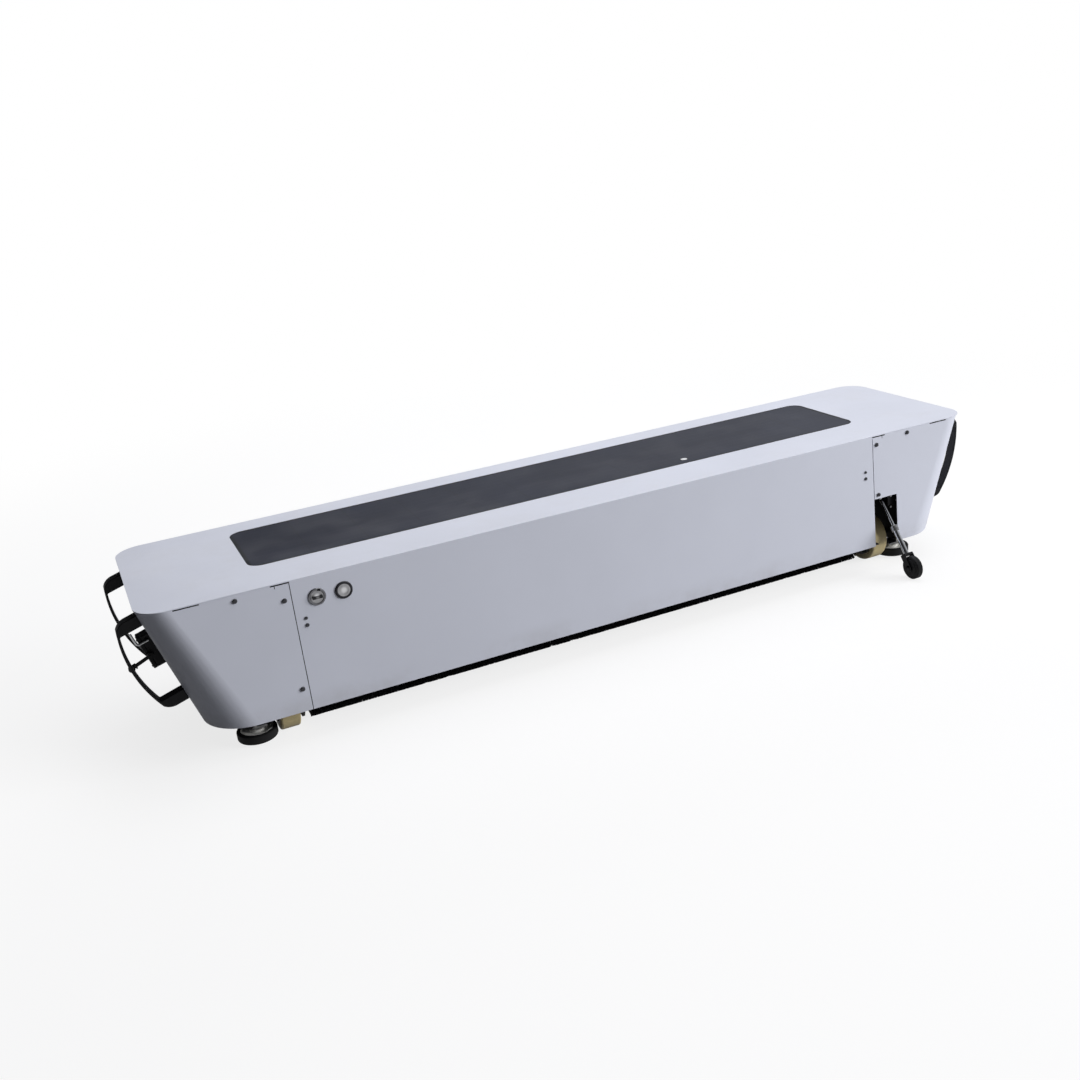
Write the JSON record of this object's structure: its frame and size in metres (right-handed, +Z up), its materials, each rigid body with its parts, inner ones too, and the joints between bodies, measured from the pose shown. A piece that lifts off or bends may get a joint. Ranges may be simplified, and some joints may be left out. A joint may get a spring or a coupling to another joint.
{
  "type": "solar panel cleaning robot",
  "caption": "Long low robot that drives across solar panels on polyurethane wheels and sweeps them with roller brushes under a hood with a solar panel on top.",
  "frame": {"origin": "on the ground plane under the wheels, midway along the hood and midway between its front and rear", "axes": "+X along the hood toward the end with the front switch lever, -Y toward the front face with the push button, +Z up"},
  "size_m": [2.076, 0.698, 0.344],
  "materials": {
    "white_paint": "satin powder coat",
    "solar_glass": "smooth dark solar laminate",
    "aluminium": "anodised",
    "black_metal": "black anodised",
    "black_plastic": "fine matte",
    "cast_metal": "cast and painted",
    "machined_metal": "machined",
    "belt_rubber": "matte",
    "bristle_nylon": "nylon filament",
    "tan_tyre": "cast polyurethane",
    "white_nylon": "turned nylon",
    "chrome": "plated",
    "roller_rubber": "moulded"
  },
  "bodies": {
    "chassis": {"hood": "white_paint", "left_cover": "white_paint", "right_cover": "white_paint", "solar_panel": "solar_glass", "solar_tray": "aluminium", "left_side_plate": "black_metal", "right_side_plate": "black_metal", "left_end_frame": "black_metal", "right_end_frame": "black_metal", "front_rail": "aluminium", "rear_rail": "aluminium", "deck": "black_metal", "battery": "black_plastic", "controller": "aluminium", "left_drive_motor": "cast_metal", "right_drive_motor": "cast_metal", "left_drive_belt": "belt_rubber", "right_drive_belt": "belt_rubber", "brush_bearings": "cast_metal", "front_right_guide_bracket": "aluminium", "rear_right_guide_bracket": "aluminium", "front_left_guide_bracket": "aluminium", "rear_left_guide_bracket": "aluminium", "front_switch": "black_plastic", "rear_switch": "black_plastic", "end_switch": "black_plastic", "right_front_handle": "black_plastic", "right_rear_handle": "black_plastic", "left_front_handle": "black_plastic", "left_rear_handle": "black_plastic", "button_rim": "chrome", "key_rim": "chrome"},
    "front_brush": {"front_brush_core": "machined_metal", "front_bristles": "bristle_nylon"},
    "rear_brush": {"rear_brush_core": "machined_metal", "rear_bristles": "bristle_nylon"},
    "front_right_wheel": {"front_right_hub": "machined_metal", "front_right_tyre": "tan_tyre"},
    "rear_right_wheel": {"rear_right_hub": "machined_metal", "rear_right_tyre": "tan_tyre"},
    "front_left_wheel": {"front_left_hub": "machined_metal", "front_left_tyre": "tan_tyre"},
    "rear_left_wheel": {"rear_left_hub": "machined_metal", "rear_left_tyre": "tan_tyre"},
    "right_pulley": {"right_motor_pulley": "machined_metal"},
    "left_pulley": {"left_motor_pulley": "machined_metal"},
    "front_right_guide": {"front_right_guide_wheel": "white_nylon"},
    "rear_right_guide": {"rear_right_guide_wheel": "white_nylon"},
    "front_left_guide": {"front_left_guide_wheel": "white_nylon"},
    "rear_left_guide": {"rear_left_guide_wheel": "white_nylon"},
    "front_arm": {"front_lever": "chrome"},
    "front_arm_roller": {"front_roller": "roller_rubber"},
    "rear_arm": {"rear_lever": "chrome"},
    "rear_arm_roller": {"rear_roller": "roller_rubber"},
    "end_arm": {"end_lever": "black_plastic"},
    "end_arm_roller": {"end_roller": "roller_rubber"},
    "button": {"button_cap": "chrome"},
    "key": {"key_knob": "chrome"}
  },
  "joints": [
    {"name": "front_brush_spin", "type": "hinge", "parent": "chassis", "child": "front_brush", "pos_m": [0, -0.123, 0.0576], "axis": [1, 0, 0], "continuous": true},
    {"name": "rear_brush_spin", "type": "hinge", "parent": "chassis", "child": "rear_brush", "pos_m": [0, 0.123, 0.0576], "axis": [1, 0, 0], "continuous": true},
    {"name": "front_right_wheel_spin", "type": "hinge", "parent": "chassis", "child": "front_right_wheel", "pos_m": [0.751, -0.141, 0.0576], "axis": [1, 0, 0], "continuous": true},
    {"name": "rear_right_wheel_spin", "type": "hinge", "parent": "chassis", "child": "rear_right_wheel", "pos_m": [0.751, 0.141, 0.0576], "axis": [1, 0, 0], "continuous": true},
    {"name": "front_left_wheel_spin", "type": "hinge", "parent": "chassis", "child": "front_left_wheel", "pos_m": [-0.751, -0.141, 0.0576], "axis": [1, 0, 0], "continuous": true},
    {"name": "rear_left_wheel_spin", "type": "hinge", "parent": "chassis", "child": "rear_left_wheel", "pos_m": [-0.751, 0.141, 0.0576], "axis": [1, 0, 0], "continuous": true},
    {"name": "right_pulley_spin", "type": "hinge", "parent": "chassis", "child": "right_pulley", "pos_m": [0.783, 0, 0.15], "axis": [1, 0, 0], "continuous": true},
    {"name": "left_pulley_spin", "type": "hinge", "parent": "chassis", "child": "left_pulley", "pos_m": [-0.783, 0, 0.15], "axis": [1, 0, 0], "continuous": true},
    {"name": "front_right_guide_spin", "type": "hinge", "parent": "chassis", "child": "front_right_guide", "pos_m": [0.818, -0.158, 0.014], "axis": [0, 0, 1], "continuous": true},
    {"name": "rear_right_guide_spin", "type": "hinge", "parent": "chassis", "child": "rear_right_guide", "pos_m": [0.818, 0.158, 0.014], "axis": [0, 0, 1], "continuous": true},
    {"name": "front_left_guide_spin", "type": "hinge", "parent": "chassis", "child": "front_left_guide", "pos_m": [-0.818, -0.158, 0.014], "axis": [0, 0, 1], "continuous": true},
    {"name": "rear_left_guide_spin", "type": "hinge", "parent": "chassis", "child": "rear_left_guide", "pos_m": [-0.818, 0.158, 0.014], "axis": [0, 0, 1], "continuous": true},
    {"name": "front_arm_swing", "type": "hinge", "parent": "chassis", "child": "front_arm", "pos_m": [0.747, -0.199, 0.179], "axis": [-1, 0, 0], "range_deg": [-12, 30], "stiffness_Nm_per_rad": 20},
    {"name": "front_roller_spin", "type": "hinge", "parent": "front_arm", "child": "front_arm_roller", "pos_m": [0.747, -0.32097, 0.02891], "axis": [1, 0, 0], "continuous": true},
    {"name": "rear_arm_swing", "type": "hinge", "parent": "chassis", "child": "rear_arm", "pos_m": [-0.747, 0.199, 0.179], "axis": [1, 0, 0], "range_deg": [-12, 30], "stiffness_Nm_per_rad": 20},
    {"name": "rear_roller_spin", "type": "hinge", "parent": "rear_arm", "child": "rear_arm_roller", "pos_m": [-0.747, 0.32097, 0.02891], "axis": [1, 0, 0], "continuous": true},
    {"name": "end_arm_swing", "type": "hinge", "parent": "chassis", "child": "end_arm", "pos_m": [-0.98224, -0.0208, 0.18149], "axis": [0, 1, 0], "range_deg": [-25, 25], "stiffness_Nm_per_rad": 1.5},
    {"name": "end_roller_spin", "type": "hinge", "parent": "end_arm", "child": "end_arm_roller", "pos_m": [-1.02387, -0.0208, 0.16369], "axis": [0, 1, 0], "continuous": true},
    {"name": "button_press", "type": "slide", "parent": "chassis", "child": "button", "axis": [0, 0.9989, -0.0467], "range_m": [0, 0.003], "stiffness_N_per_m": 1500},
    {"name": "key_turn", "type": "hinge", "parent": "chassis", "child": "key", "pos_m": [-0.659, -0.22315, 0.298], "axis": [0, -0.9989, 0.0467], "range_deg": [0, 90]}
  ],
  "couplings": [
    {"joint": "rear_right_wheel_spin", "follows": "front_right_wheel_spin", "ratio": 1},
    {"joint": "right_pulley_spin", "follows": "front_right_wheel_spin", "ratio": 1.2727},
    {"joint": "front_left_wheel_spin", "follows": "rear_left_wheel_spin", "ratio": 1},
    {"joint": "left_pulley_spin", "follows": "rear_left_wheel_spin", "ratio": 1.2727}
  ]
}
